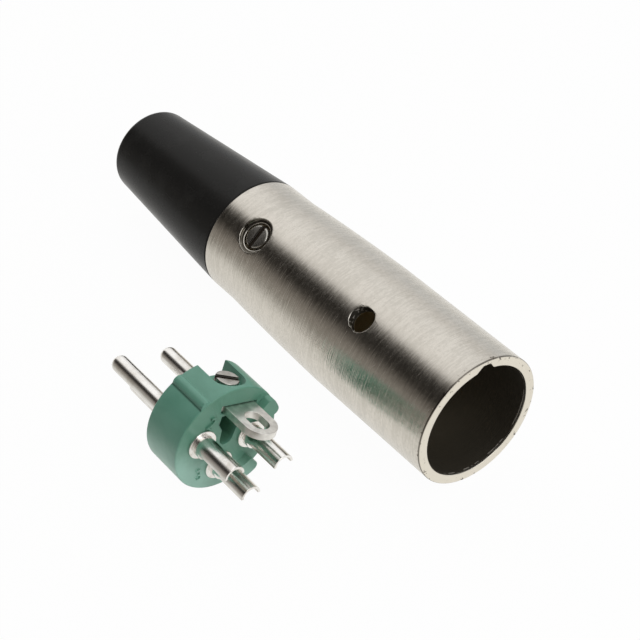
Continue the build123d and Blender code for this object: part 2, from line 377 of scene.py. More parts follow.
barrel = {
    "radius": 9.5,
    "straightLength": 23.0,
    "taperLength": 20.0,
    "taperSwell": 0.1,
    "collarRadius": 8.7,
    "collarLength": 4.7,
    "mouthBore": 8.15,
    "mouthDepth": 13.5,
    "seatBore": 7.8,
    "seatDepth": 21.05,
    "waistBore": 6.9,
    "clampBore": 5.6,
    "clampBoreFront": 36.7,
    "clampBoreLead": 0.8,
    "neckRadius": 7.2,
    "neckLength": 4.2,
    "edge": 0.2,
    "softEdge": 0.13,
    "lockHole": 1.8,
    "lockSetback": 17.0,
    "lockAngle": -33.5,
    "keyAngle": 7.5,
    "keySection": [(-1.7, 6.9), (-1.7, 8.05), (-0.9, 8.9), (0.3, 8.9), (1.2, 7.8), (1.2, 6.9)],
    "clampDish": 2.6,
    "clampDishFloor": 8.255,
    "clampHole": 2.05,
    "clampThread": 1.31,
    "clampFloor": 6.66,
    "clampSetback": 40.3,
    "clampAngle": -36.1,
    "segments": 240,
    "ringSpacing": 1.25,
}
clampAngles = {"upper": barrel["clampAngle"], "lower": barrel["clampAngle"] + 180}
clampFrames = {side: radialFrame(barrel["clampSetback"], angle) for side, angle in clampAngles.items()}


nickelLook = {
    "colour": shade(0.66, 0.625, 0.565),
    "dull": shade(0.56, 0.53, 0.475),
    # painted highlight on the rim face
    "rim": shade(0.78, 0.735, 0.645),
    # the nicks' colour, also used as painted shade along the rim's rounded outer edge
    "nick": shade(0.10, 0.085, 0.07),
    # the bore's colours from here to the far end: painted shade, darkest near the mouth
    "inside": shade(0.050, 0.043, 0.030),
    "innerWall": shade(0.120, 0.103, 0.072),
    "seat": shade(0.38, 0.32, 0.21),
    "deepInside": shade(0.62, 0.52, 0.33),
    # painted shade on the walls of the holes
    "holeWall": shade(0.028, 0.023, 0.014),
    "dish": shade(0.15, 0.135, 0.11),
    "roughness": 0.215,
    "brushDepth": 0.042,
    # scale, detail, roughness, distortion, turn, shift
    "noises": {
        "strokes": ((3600, 520, 520), 4.0, 0.62, 0.3),
        "scores": ((1300, 210, 210), 3.0, 0.6, 0.3, (0, 0, 0), (3.1, 0.4, 0.7)),
        "grooves": ((9000, 240, 240), 1.0, 0.5),
        "speck": (2400.0, 3.0, 0.6),
        "patch": (150.0, 4.0, 0.55),
        "worn": (420.0, 4.0, 0.65),
        "chips": (1250.0, 3.0, 0.7),
        "glint": (1900.0, 2.0, 0.6),
    },
    # where a finish, a painted shade or a painted highlight starts and is full, from the axis or along it
    # from the rim
    "mouthWall": (8.95, 8.9),
    "mouthEnd": (-14, -13.5),
    "innerWallRadius": (8.0, 7.9),
    "boreStart": (-0.15, -0.3),
    "gleamBand": (-0.55, -0.48, -0.40, -0.34),
    "rimFace": (-0.10, -0.03),
    "cornerBand": (-0.32, -0.2, -0.08, -0.02),
    "cornerRadius": (9.2, 9.3),
    "nickStart": (-1.0, -0.2),
    "nickRadius": (8.5, 9.2),
    "mouthFade": (-1, -12),
    "seatStart": (-13.3, -13.6),
    "deepStart": (-21, -21.2),
    "holeWallReach": (0.04, 0.01),
}


def nearHole(graph, place, hole, radius):
    # 1 on the wall of a hole across the barrel, 0 away from it
    x, y, z = graph.parts(place)
    angle = radians(barrel[hole + "Angle"])
    along = x + barrel[hole + "Setback"] * mm
    aside = y * cos(angle) - z * sin(angle)
    distance = graph.maths("SQRT", along * along + aside * aside)
    return graph.reach(distance, *(radius + margin for margin in nickelLook["holeWallReach"]))


def satinNickel(graph, place, look):
    # brushed round its axis and plated: short fine strokes, each a little brighter or duller
    strokes, scores, grooves, speck, patch, worn, chips, glint = graph.noises(place, look)
    x, y, z = graph.parts(place)
    radius = graph.maths("SQRT", y * y + z * z)
    # the bore, painted dark as painted shade, with a painted highlight line near its edge where the metal
    # keeps its own colour
    mouth = graph.reach(radius, *look["mouthWall"]) * graph.reach(x, *look["mouthEnd"])
    bore = graph.maths("MAXIMUM", mouth, graph.reach(radius, *look["innerWallRadius"]))
    bore = bore * graph.reach(x, *look["boreStart"])
    gleam = graph.band(x, *look["gleamBand"]) * graph.spread(worn, 0.46, 0.52)
    # the lock hole's and the clamp holes' walls, painted dark as painted shade with painted glints, and the
    # dish round each clamp hole
    lockOut = outwards(barrel["lockAngle"])
    lockSide = graph.reach(y * lockOut.y + z * lockOut.z, 0, 1)
    lockWall = nearHole(graph, place, "lock", barrel["lockHole"]) * lockSide
    holes = graph.maths("MAXIMUM", lockWall, nearHole(graph, place, "clamp", barrel["clampHole"]))
    hidden = graph.maths("MAXIMUM", holes, bore)
    dish = nearHole(graph, place, "clamp", barrel["clampDish"])
    dish = dish - nearHole(graph, place, "clamp", barrel["clampHole"] + 0.12)
    # the cut rim, painted paler as a painted highlight, and along its outer edge a painted shade line and the
    # nicks
    rim = graph.reach(x, *look["rimFace"])
    # painted shade: a dark line along the rim's rounded outer edge, broken up by noise
    corner = graph.band(x, *look["cornerBand"]) * graph.reach(radius, *look["cornerRadius"])
    corner = corner * graph.spread(worn, 0.36, 0.46, 0.2, 0.85)
    edge = graph.reach(x, *look["nickStart"]) * graph.reach(radius, *look["nickRadius"])
    nicks = edge * graph.spread(chips, 0.60, 0.645)
    tone = graph.spread(strokes * 0.4 + speck * 0.25 + scores * 0.2 + patch * 0.15, 0.42, 0.58)
    metal = graph.mixed(tone, look["dull"], look["colour"])
    metal = graph.mixed(dish * graph.spread(worn, 0.4, 0.6, 0.6, 1.0), metal, look["dish"])
    # painted highlight: the rim face painted paler
    metal = graph.mixed(rim, metal, look["rim"])
    metal = graph.mixed(graph.maths("MAXIMUM", nicks, corner), metal, look["nick"])
    # hole walls painted dark as painted shade, with painted glints of the metal's own colour
    shadedHoleWall = graph.mixed(graph.spread(glint, 0.58, 0.66) * 0.7, look["holeWall"], look["colour"])
    metal = graph.mixed(holes, metal, shadedHoleWall)
    # the bore's painted shade gets paler from the mouth to the far end
    inside = graph.mixed(graph.reach(x, *look["mouthFade"]), look["inside"], look["innerWall"])
    deep = graph.mixed(graph.reach(x, *look["deepStart"]), look["seat"], look["deepInside"])
    inside = graph.mixed(graph.reach(x, *look["seatStart"]), inside, deep)
    # painted highlight: a line near the mouth left without the painted shade
    inside = graph.mixed(gleam, inside, look["colour"])
    fineness = (strokes - 0.5) * 0.28 + (speck - 0.5) * 0.12 + (patch - 0.5) * 0.06
    brushed = strokes * 0.05 + scores * 0.03 + grooves * 0.92
    return {
        "Base Color": graph.mixed(bore, metal, inside),
        "Metallic": 1.0 - hidden * (0.75 - gleam * 0.6),
        "Roughness": look["roughness"] + fineness + hidden * 0.35 + rim * 0.15,
        "Normal": bumped(graph, brushed, look["brushDepth"]),
    }


materials["nickel"] = newMaterial("satinNickel", {}, satinNickel, nickelLook)


def barrelProfile():
    size = barrel
    end = -size["straightLength"]
    collarStart = end - size["taperLength"]
    collarEnd = collarStart - size["collarLength"]
    neckEnd = collarEnd + size["neckLength"]
    corners = [
        (0, size["mouthBore"], 0),
        (0, size["radius"], size["edge"]),
    ]
    straightSteps = int(size["straightLength"] / size["ringSpacing"])
    for step in range(1, straightSteps + 1):
        corners.append((end * step / straightSteps, size["radius"], 0))
    taperSteps = int(size["taperLength"] / size["ringSpacing"])
    for step in range(1, taperSteps + 1):
        share = step / taperSteps
        swell = size["taperSwell"] * (1 - (2 * share - 1) ** 2)
        radius = size["radius"] + (size["collarRadius"] - size["radius"]) * share + swell
        corners.append((end - size["taperLength"] * share, radius, 0))
    corners += [
        (collarStart - size["collarLength"] / 2, size["collarRadius"], 0),
        (collarEnd, size["collarRadius"], 0.1),
        (collarEnd, size["neckRadius"], 0),
        (neckEnd, size["neckRadius"], 0),
        (neckEnd, size["clampBore"], 0),
        (-size["clampBoreFront"] - size["clampBoreLead"], size["clampBore"], 0),
        (-size["clampBoreFront"], size["waistBore"], 0),
        (-size["seatDepth"], size["waistBore"], 0),
        (-size["seatDepth"], size["seatBore"], 0),
        (-size["mouthDepth"], size["seatBore"], 0),
        (-size["mouthDepth"], size["mouthBore"], 0),
        (-size["mouthDepth"] / 2, size["mouthBore"], 0),
    ]
    return rounded(corners)


def makeBarrel():
    size = barrel
    outside = size["radius"] + 1
    piece = turned("barrelShell", barrelProfile(), size["segments"], barrelFrame, closed=True)
    keyFrame = axesMatrix((0, 0, 0), (1, 0, 0), outwards(size["keyAngle"] + 90))
    combine(piece, prism("keyway", size["keySection"], -size["seatDepth"], 1.0, keyFrame))
    lockFrame = radialFrame(size["lockSetback"], size["lockAngle"])
    combine(piece, drill(lockFrame, size["lockHole"], size["waistBore"] - 1, outside, 72))
    for place in clampFrames.values():
        combine(piece, drill(place, size["clampDish"], size["clampDishFloor"], outside, 80))
        combine(piece, drill(place, size["clampHole"], size["clampFloor"], outside, 72))
    softened(piece, size["softEdge"], steps=3)
    # the threaded holes stay sharp
    for place in clampFrames.values():
        combine(piece, drill(place, size["clampThread"], size["clampBore"] - 1, size["clampFloor"] + 0.5, 48))
    return piece


barrelShell = smoothed(makeBarrel(), largeAngle)
print("barrel made:", len(barrelShell.data.polygons), "faces")


# Boot

boot = {
    "frontRadius": 8.7,
    "endRadius": 6.6,
    "length": 27.6,
    "endEdge": 1.1,
    "neckRadius": 7.15,
    "neckLength": 4.2,
    "cavityRadius": 5.2,
    "cavityLength": 16.0,
    "throatLength": 3.0,
    "boreRadius": 3.3,
    "frontEdge": 0.35,
    "segments": 160,
}


rubberLook = {
    "colour": shade(0.0200, 0.0195, 0.0185),
    "rubbed": shade(0.0290, 0.0285, 0.0270),
    "dust": shade(0.22, 0.21, 0.20),
    "roughness": 0.27,
    "grainDepth": 0.006,
    "noises": {
        "grain": (4800.0, 2.0, 0.5),
        "cloud": (210.0, 4.0, 0.6),
        "scuff": ((160, 900, 900), 5.0, 0.65, 0.4),
        "specks": (2600.0, 1.0, 0.5),
    },
}


def blackRubber(graph, place, look):
    # soft rubber, rubbed paler in patches, with a little dust
    grain, cloud, scuff, specks = graph.noises(place, look)
    scuff = graph.spread(scuff, 0.62, 0.74)
    colour = graph.mixed(graph.spread(cloud, 0.45, 0.8), look["colour"], look["rubbed"])
    colour = graph.mixed(graph.spread(specks, 0.80, 0.84) * 0.5, colour, look["dust"])
    return {
        "Base Color": graph.mixed(scuff * 0.4, colour, look["rubbed"]),
        "Roughness": look["roughness"] + (cloud - 0.5) * 0.20 + scuff * 0.08,
        "Normal": bumped(graph, grain, look["grainDepth"], 0.6),
    }


materials["rubber"] = newMaterial("blackRubber", {"Specular IOR Level": 0.09}, blackRubber, rubberLook)


def makeBoot():
    size = boot
    front = -(barrel["straightLength"] + barrel["taperLength"] + barrel["collarLength"])
    end = front - size["length"]
    neckEnd = front + size["neckLength"]
    cavityEnd = neckEnd - size["cavityLength"]
    corners = [
        (neckEnd, size["cavityRadius"], 0),
        (neckEnd, size["neckRadius"], 0),
        (front, size["neckRadius"], 0),
        (front, size["frontRadius"], size["frontEdge"]),
        (end, size["endRadius"], size["endEdge"]),
        (end, size["boreRadius"], 0.3),
        (cavityEnd - size["throatLength"], size["boreRadius"], 0),
        (cavityEnd, size["cavityRadius"], 0),
    ]
    return turned("strainReliefBoot", rounded(corners, 8), size["segments"], barrelFrame, closed=True)


strainReliefBoot = smoothed(makeBoot(), largeAngle)
print("boot made")


# Insert moulding

insert = {
    "radius": 7.7,
    "thickness": 6.35,
    "edge": 0.22,
    "ribOffset": 41.0,
    "ribWidth": 1.7,
    "ribHeight": 0.42,
    "tabHeight": 1.2,
    "tabInner": 5.35,
    "tabInset": 0.05,
    "tabs": [(38.0, 60.0), (127.0, 146.0)],
    "tabCorner": 0.8,
    "tabSink": 0.4,
    "pocketRadius": 2.25,
    "pocketFloor": 6.1,
    "channelFloor": 5.15,
    "screwSetback": 3.5,
    "screwHole": 1.0,
    "screwTip": 3.35,
    "slotCentre": (0.5, 4.65),
    "slotSize": (5.6, 1.2),
    "slotDepth": 5.5,
    "hollowDepth": 4.0,
    "hollowRadius": 1.0,
    "hollowBottom": 0.1,
    "hollowNeckLevel": 1.5,
    "hollowNeck": 2.3,
    "hollowTop": 3.7,
    "hollowShoulder": 2.4,
    "hollowHeight": 3.65,
    "pinCircle": 3.95,
    "pinSeat": 1.42,
    "softEdge": 0.07,
    "softAngle": 38,
}


mouldingLook = {
    "colour": shade(0.158, 0.382, 0.288),
    "deep": shade(0.130, 0.335, 0.246),
    # painted sheen: the moulding paler away from the rib
    "pale": shade(0.410, 0.700, 0.590),
    # painted shade for the solder side, the hollow and the lug's slot
    "hollow": shade(0.120, 0.300, 0.200),
    # painted shadow along the rib's outer side
    "crease": shade(0.020, 0.075, 0.052),
    "roughness": 0.36,
    "grainDepth": 0.005,
    "noises": {
        "flow": ((150, 300, 300), 3.0, 0.5, 0.6, (0.3, 0.2, 0.4)),
        "peel": (2300.0, 2.0, 0.5),
        "cloud": (520.0, 4.0, 0.6),
    },
    # limits on the insert: down from its solder side, across it, and from the rib's axis
    "faceDepth": (0.1, 0.03),
    "paleReach": (-1, -5.5),
    "creaseBand": (0.84, 0.88, 0.95, 1.10),
    "creaseDepth": (0.02, 0.1),
    "creaseSide": (-2, -4),
    "recessAside": (3.3, 3.1),
    "recessAcross": (-1.2, -0.9, 5.4, 5.6),
    "recessDepth": (0.05, 0.7, 5.6, 5.8),
}


def ribCentre():
    reach = insert["radius"] + insert["ribHeight"] - insert["ribWidth"] / 2
    return arcPoints((0, 0), reach, -insert["ribOffset"], 0, 1)[0]


def greenMoulding(graph, place, look):
    # a smooth moulding with faint flow marks and a slight orange peel; painted shade darkens its recesses,
    # its solder side and the crease by the rib, and a painted sheen pales it away from the rib
    flow, peel, cloud = graph.noises(place, look)
    local = graph.add("ShaderNodeMapping", {"vector_type": "TEXTURE"}, {
        "Vector": place,
        "Location": insertFrame.to_translation(),
        "Rotation": insertFrame.to_euler(),
    })
    x, y, z = graph.parts(local)
    depth = insert["thickness"] * mm - z
    tone = graph.spread(flow * 0.6 + cloud * 0.4, 0.35, 0.65)
    colour = graph.mixed(tone, look["deep"], look["colour"])
    # the solder side is darkened as painted shade, and a painted sheen makes everything paler away from the
    # rib
    face = graph.reach(depth, *look["faceDepth"])
    colour = graph.mixed(face * 0.45, colour, look["hollow"])
    slant = y * 0.9 + x * 0.25 + (cloud - 0.5) * 2 * mm
    # painted sheen, paler away from the rib
    colour = graph.mixed(graph.reach(slant, *look["paleReach"]), colour, look["pale"])
    # a painted shadow line in the crease where the rib's outer side meets the disc
    ribX, ribY = ribCentre()
    besideX = x - ribX * mm
    besideY = y - ribY * mm
    beside = graph.maths("SQRT", besideX * besideX + besideY * besideY)
    crease = graph.band(beside, *look["creaseBand"]) * graph.reach(depth, *look["creaseDepth"])
    crease = crease * graph.reach(x * ribY - y * ribX, *look["creaseSide"])
    colour = graph.mixed(crease * 0.75, colour, look["crease"])
    # painted shade in the hollow and the lug's slot
    aside = graph.maths("ABSOLUTE", x - 0.5 * insert["slotCentre"][0] * mm)
    recess = graph.reach(aside, *look["recessAside"]) * graph.band(y, *look["recessAcross"])
    recess = recess * graph.band(depth, *look["recessDepth"])
    return {
        # painted shade darkens the hollow and the lug's slot
        "Base Color": graph.mixed(recess, colour, look["hollow"]),
        "Roughness": look["roughness"] + (cloud - 0.5) * 0.16 + (peel - 0.5) * 0.06,
        "Normal": bumped(graph, peel * 0.75 + cloud * 0.25, look["grainDepth"], 0.6),
    }


materials["moulding"] = newMaterial("greenMoulding", {"IOR": 1.5}, greenMoulding, mouldingLook)


def tabOutline(first, last):
    size = insert
    outer = size["radius"] - size["tabInset"]
    corner = size["tabCorner"]
    inset = degrees(corner / outer)
    points = arcPoints((0, 0), outer, first + inset, last - inset, 10)
    middleFirst = arcPoints((0, 0), outer - corner, first + inset, first + inset, 1)[0]
    middleLast = arcPoints((0, 0), outer - corner, last - inset, last - inset, 1)[0]
    points += arcPoints(middleLast, corner, last - inset, last - inset + 90, 6)[1:]
    points += arcPoints((0, 0), size["tabInner"], last, first, 8)
    points += arcPoints(middleFirst, corner, first + inset - 90, first + inset, 6)[:-1]
    return points


def hollowOutline():
    size = insert
    bottom = [(x, y, 0) for x, y in arcPoints((0, size["hollowBottom"]), size["hollowRadius"], 90, 270, 14)]
    shoulder = size["hollowShoulder"]
    corners = [
        (-size["hollowNeck"] / 2, size["hollowNeckLevel"], 0.3),
        (-size["hollowTop"] / 2, shoulder, 0.2),
        (-size["hollowTop"] / 2, size["hollowHeight"], 0.1),
        (size["hollowTop"] / 2, size["hollowHeight"], 0.1),
        (size["hollowTop"] / 2, shoulder, 0.2),
        (size["hollowNeck"] / 2, size["hollowNeckLevel"], 0.3),
    ]
    return rounded(bottom + corners)


def insertAxes(x, y, z, side):
    # a frame at a point of the insert, whose local z leaves the insert's axis towards the lock screw
    turn = insertFrame.to_3x3()
    place = insertFrame @ (Vector((x, y, z)) * mm)
    return axesMatrix(place, turn @ Vector((0, 1, 0)), turn @ Vector((side, 0, 0)))


pocketFrame = insertAxes(0, 0, insert["screwSetback"], 1)


def makeInsert():
    size = insert
    thickness = size["thickness"]
    edge = size["edge"]
    corners = [(0, 0, 0), (0, size["radius"], edge), (thickness, size["radius"], edge), (thickness, 0, 0)]
    piece = turned("insertBody", rounded(corners), 160, insertFrame)
    rib = arcPoints(ribCentre(), size["ribWidth"] / 2, 0, 360, 40)[:-1]
    combine(piece, prism("rib", rib, edge / 2, thickness - edge / 2, insertFrame), "UNION")
    for first, last in size["tabs"]:
        top = thickness + size["tabHeight"]
        bottom = thickness - size["tabSink"]
        combine(piece, prism("tab", tabOutline(first, last), bottom, top, insertFrame), "UNION")
    combine(piece, drill(pocketFrame, size["pocketRadius"], size["pocketFloor"], size["radius"] + 1, 72))
    half, end = size["pocketRadius"], size["screwSetback"] + 1
    # these corners run the other way round from rectangle's
    front = [(-half, 0), (-half, end), (half, end), (half, 0)]
    combine(piece, prism("front", front, size["channelFloor"], size["radius"] + 1, pocketFrame))
    combine(piece, drill(pocketFrame, size["screwHole"], size["screwTip"], size["pocketFloor"] + 0.5, 40))
    centreX, centreY = size["slotCentre"]
    halfX, halfY = (value / 2 for value in size["slotSize"])
    slot = rectangle(centreX - halfX, centreY - halfY, centreX + halfX, centreY + halfY)
    for name, outline in (("slot", slot), ("hollow", hollowOutline())):
        bottom = thickness - size[name + "Depth"]
        combine(piece, prism(name, outline, bottom, thickness + 0.5, insertFrame))
    for x, y in ((-1, 0), (1, 0), (0, -1)):
        spot = insertFrame @ Matrix.Translation((x * size["pinCircle"] * mm, y * size["pinCircle"] * mm, 0))
        combine(piece, drill(spot, size["pinSeat"], -1, thickness + 1, 48))
    return piece


insertBody = softened(makeInsert(), insert["softEdge"], insert["softAngle"])
smoothed(insertBody, largeAngle)
print("insert made:", len(insertBody.data.polygons), "faces")


# Geometry Nodes trees

def newTree(name, inputs):
    # a tree with named inputs after its geometry; gives the graph and the input wires
    tree = bpy.data.node_groups.new(name, "GeometryNodeTree")
    tree.interface.new_socket(name="Geometry", in_out="INPUT", socket_type="NodeSocketGeometry")
    for title, kind in inputs.items():
        tree.interface.new_socket(name=title, in_out="INPUT", socket_type="NodeSocket" + kind)
    tree.interface.new_socket(name="Geometry", in_out="OUTPUT", socket_type="NodeSocketGeometry")
    graph = Graph(tree)
    entry = graph.add("NodeGroupInput")
    return graph, entry


def closeTree(graph, geometry):
    real = graph.add("GeometryNodeRealizeInstances", {}, {"Geometry": geometry})
    graph.add("NodeGroupOutput", {}, {"Geometry": real})
    return graph.tree


def grown(name, tree, values, mesh=None):
    # runs a tree on a mesh and keeps the result as a plain mesh
    piece = newPiece(name, mesh or bpy.data.meshes.new(name))
    step = piece.modifiers.new("tree", "NODES")
    step.node_group = tree
    for item in tree.interface.items_tree:
        if item.item_type == "SOCKET" and item.in_out == "INPUT" and item.name in values:
            step[item.identifier] = values[item.name]
    return settled(piece)


def setOut(graph, entry, spot):
    # copies of an object, each at its spot
    points = graph.add("GeometryNodePoints", {}, {"Count": entry.out("Count"), "Position": spot})
    shape = graph.add("GeometryNodeObjectInfo", {}, {"Object": entry.out("Object")}).out("Geometry")
    return graph.add("GeometryNodeInstanceOnPoints", {}, {"Points": points, "Instance": shape})


def contactTree():
    # one contact, set round a circle a quarter turn apart
    inputs = {"Object": "Object", "Count": "Int", "Circle Radius": "Float", "First Angle": "Float"}
    graph, entry = newTree("contactsOnCircle", {**inputs, "Step Angle": "Float"})
    index = graph.add("GeometryNodeInputIndex")
    angle = entry.out("First Angle") + index * entry.out("Step Angle")
    spot = graph.add("ShaderNodeCombineXYZ", {}, {
        "X": graph.maths("COSINE", angle) * entry.out("Circle Radius"),
        "Y": graph.maths("SINE", angle) * entry.out("Circle Radius"),
    })
    return closeTree(graph, setOut(graph, entry, spot))


def threadTree():
    # a screw thread: a small profile swept along a helix and joined to the shank
    floats = dict.fromkeys(("Radius", "Pitch", "Turns", "Start", "Ridge"), "Float")
    graph, entry = newTree("screwThread", {**floats, "Left Hand": "Bool"})
    helix = graph.add("GeometryNodeCurveSpiral", {}, {
        "Resolution": 28,
        "Rotations": entry.out("Turns"),
        "Start Radius": entry.out("Radius"),
        "End Radius": entry.out("Radius"),
        "Height": entry.out("Turns") * entry.out("Pitch"),
        "Reverse": entry.out("Left Hand"),
    })
    raised = graph.add("GeometryNodeTransform", {}, {
        "Geometry": helix,
        "Translation": graph.add("ShaderNodeCombineXYZ", {}, {"Z": entry.out("Start")}),
    })
    section = {"Resolution": 4, "Radius": entry.out("Ridge")}
    ridge = graph.add("GeometryNodeCurveToMesh", {}, {
        "Curve": raised,
        "Profile Curve": graph.add("GeometryNodeCurvePrimitiveCircle", {}, section),
        "Fill Caps": True,
    })
    joined = graph.add("GeometryNodeJoinGeometry")
    for part in (entry.out("Geometry"), ridge):
        graph.tree.links.new(part.socket, joined.socket.node.inputs[0])
    return closeTree(graph, joined)


def toothTree():
    # cuts a row of equal grooves through a jaw
    inputs = {"Object": "Object", "Count": "Int", "Spacing": "Float", "Start": "Float"}
    graph, entry = newTree("jawTeeth", inputs)
    index = graph.add("GeometryNodeInputIndex")
    spot = graph.add("ShaderNodeCombineXYZ", {}, {"Z": entry.out("Start") + index * entry.out("Spacing")})
    solid = graph.add("GeometryNodeRealizeInstances", {}, {"Geometry": setOut(graph, entry, spot)})
    cut = graph.add("GeometryNodeMeshBoolean", {"operation": "DIFFERENCE"}, {
        "Mesh 1": entry.out("Geometry"),
        "Mesh 2": solid,
    })
    return closeTree(graph, cut)


# Contacts: pin, ring and half-cut solder cup

contact = {
    "radius": 1.2,
    "heldRadius": 1.4,
    "length": 12.5,
    "tip": 0.9,
    "ringRadius": 2.05,
    "ringHeight": 0.35,
    "cupRadius": 1.45,
    "cupLength": 6.95,
    "cupWall": 0.35,
    "cupBase": 1.0,
    "cupFloor": 0.6,
    "cupTurn": -15.0,
    "softEdge": 0.045,
}


silverLook = {
    "colour": shade(0.90, 0.885, 0.86),
    "tarnish": shade(0.66, 0.62, 0.56),
    "roughness": 0.20,
    "drawDepth": 0.0016,
    "noises": {
        "drawn": ((150, 4600, 4600), 3.0, 0.6),
        "marks": ((1500, 500, 1500), 4.0, 0.7, 0.0, (0.2, 0.5, 0.9)),
        "film": (420.0, 4.0, 0.6),
    },
}


def contactSilver(graph, place, look):
    # bright plating over a drawn pin: lengthwise lines, fine handling marks and a little tarnish
    drawn, marks, film = graph.noises(place, look)
    inside = graph.recess()
    stained = graph.spread(film + inside * 0.25, 0.42, 0.8)
    return {
        "Base Color": graph.mixed(stained, look["colour"], look["tarnish"]),
        "Roughness": look["roughness"] + (film - 0.4) * 0.16 + (drawn - 0.5) * 0.14 + inside * 0.24,
        "Normal": bumped(graph, drawn * 0.7 + marks * 0.3, look["drawDepth"]),
    }


materials["silver"] = newMaterial("contactSilver", allMetal, contactSilver, silverLook)


def makeContact():
    size = contact
    thickness = insert["thickness"]
    ringTop = thickness + size["ringHeight"]
    cupEnd = thickness + size["cupLength"]
    floor = ringTop + size["cupFloor"]
    inner = size["cupRadius"] - size["cupWall"]
    corners = [
        (-size["length"], 0, 0),
        (-size["length"], size["radius"], size["tip"]),
        (0, size["radius"], 0),
        (0, size["heldRadius"], 0.08),
        (thickness, size["heldRadius"], 0),
        (thickness, size["ringRadius"], 0.08),
        (ringTop, size["ringRadius"], 0.12),
        (ringTop, size["cupRadius"], 0.06),
        (cupEnd, size["cupRadius"], 0.06),
        (cupEnd, inner, 0.06),
        (floor, inner, 0.15),
        (floor, 0, 0),
    ]
    piece = turned("contact", rounded(corners, 6), 64)
    turn = Matrix.Rotation(radians(-size["cupTurn"]), 4, "Z")
    wide = 2 * size["cupRadius"]
    half = rectangle(-wide, -wide, wide, 0)
    combine(piece, prism("halfCut", half, ringTop + size["cupBase"], cupEnd + 1, turn))
    softened(piece, size["softEdge"])
    inner, floor = (inner + 0.01) * mm, (floor - 0.01) * mm
    markRecess(piece.data, lambda at: float(at.xy.length < inner and at.z > floor))
    return piece


oneContact = makeContact()
contacts = grown("contacts", contactTree(), {
    "Object": oneContact,
    "Count": 3,
    "Circle Radius": insert["pinCircle"] * mm,
    "First Angle": pi,
    "Step Angle": pi / 2,
})
bpy.data.objects.remove(oneContact)
contacts.data.transform(insertFrame)
smoothed(contacts)
print("contacts made")


# Ground lug

lug = {
    "offset": 0.5,
    "width": 4.7,
    "rootWidth": 5.4,
    "thickness": 1.0,
    "level": 5.15,
    "reach": 6.4,
    "eyeWidth": 2.4,
    "eyeStart": 1.7,
    "eyeEnd": 5.4,
    "rootDepth": 5.4,
    "rootSink": 0.35,
    "screwHole": 1.0,
    "softEdge": 0.05,
}


tinLook = {
    "colour": shade(0.88, 0.865, 0.82),
    "dull": shade(0.68, 0.665, 0.63),
    "roughness": 0.33,
    "dimpleDepth": 0.007,
    "noises": {"dimple": (900.0, 3.0, 0.5), "grain": (4200.0, 2.0, 0.5)},
}


def tinPlate(graph, place, look):
    # dull tin over stamped strip, with a fine pebbled skin
    dimple, grain = graph.noises(place, look)
    return {
        "Base Color": graph.mixed(graph.spread(dimple, 0.35, 0.7), look["dull"], look["colour"]),
        "Roughness": look["roughness"] + (dimple - 0.5) * 0.2 + (grain - 0.5) * 0.1,
        "Normal": bumped(graph, dimple * 0.7 + grain * 0.3, look["dimpleDepth"], 0.7),
    }


materials["tin"] = newMaterial("tinPlate", allMetal, tinPlate, tinLook)


def makeLug():
    size = lug
    half = size["width"] / 2
    root = size["rootWidth"] / 2
    centre = size["reach"] - half
    sink = size["rootSink"]
    outline = [(-root, -size["rootDepth"]), (-root, -sink), (-half, -sink)]
    outline += arcPoints((0, centre), half, -90, 90, 24)
    outline += [(half, -sink), (root, -sink), (root, -size["rootDepth"])]
    lugFrame = insertAxes(size["offset"], size["level"] - size["thickness"], insert["thickness"], -1)
    piece = prism("groundLug", outline, 0, size["thickness"], lugFrame)
    eyeHalf = size["eyeWidth"] / 2
    eye = arcPoints((0, size["eyeEnd"] - eyeHalf), eyeHalf, -90, 90, 16)
    eye += arcPoints((0, size["eyeStart"] + eyeHalf), eyeHalf, 90, 270, 16)
    combine(piece, prism("eye", eye, -1, size["thickness"] + 1, lugFrame))
    combine(piece, drill(pocketFrame, size["screwHole"], 3, 6, 40))
    return softened(piece, size["softEdge"], steps=3)


groundLug = smoothed(makeLug())
print("lug made")


# Screws

anyScrew = {"slotWidth": 0.75, "pitch": 0.45, "ridge": 0.12, "softEdge": 0.04}
lockScrewSize = {
    **anyScrew,
    "headRadius": 1.58,
    "headHeight": 1.2,
    "headLevel": 7.35,
    "shankRadius": 0.95,
    "tipLevel": 3.4,
    "slotDepth": 0.5,
    "slotTurn": -30.0,
    "edge": 0.16,
}
clampScrewSize = {
    **anyScrew,
    "headRadius": 1.75,
    "headHeight": 0.95,
    "headLevel": 8.40,
    "shankRadius": 1.25,
    "tipLevel": 5.34,
    "slotDepth": 0.45,
    "slotTurn": 93.0,
    "edge": 0.28,
    "neckRadius": 0.8,
    "buttonRadius": 1.15,
    "buttonTop": 4.4,
    "buttonHeight": 0.4,
}


screwLook = {
    "colour": shade(0.50, 0.485, 0.45),
    "stained": shade(0.26, 0.235, 0.20),
    # grease and painted shade in the slot, painted shade down the head's side
    "grime": shade(0.030, 0.020, 0.012),
    "roughness": 0.27,
    "scratchDepth": 0.003,
    "noises": {"scratch": ((3000, 900, 3000), 3.0, 0.6, 0.0, (0.4, 0.9, 0.3)), "stain": (700.0, 3.0, 0.6)},
    # grease and painted shade start this far under the head, grow over this span, and are this weak outside
    # the head, where they are painted shade alone
    "grimeStart": 0.1,
    "grimeSpan": 0.2,
    "grimeOutside": 0.4,
}


def platedScrew(graph, place, look):
    # a plated screw whose slot has filled with old grease, darkened by painted shade in the slot and down the
    # head's side
    scratch, stain = graph.noises(place, look)
    greaseAndShadeShare = graph.spread(graph.recess() + (stain - 0.5) * 0.3, 0.15, 0.75)
    plated = graph.mixed(graph.spread(stain, 0.5, 0.8) * 0.6, look["colour"], look["stained"])
    return {
        "Base Color": graph.mixed(greaseAndShadeShare, plated, look["grime"]),
        "Metallic": 1.0 - greaseAndShadeShare * 0.8,
        "Roughness": look["roughness"] + (stain - 0.5) * 0.2 + greaseAndShadeShare * 0.35,
        "Normal": bumped(graph, scratch, look["scratchDepth"], 0.6),
    }


materials["screw"] = newMaterial("platedScrew", {}, platedScrew, screwLook)


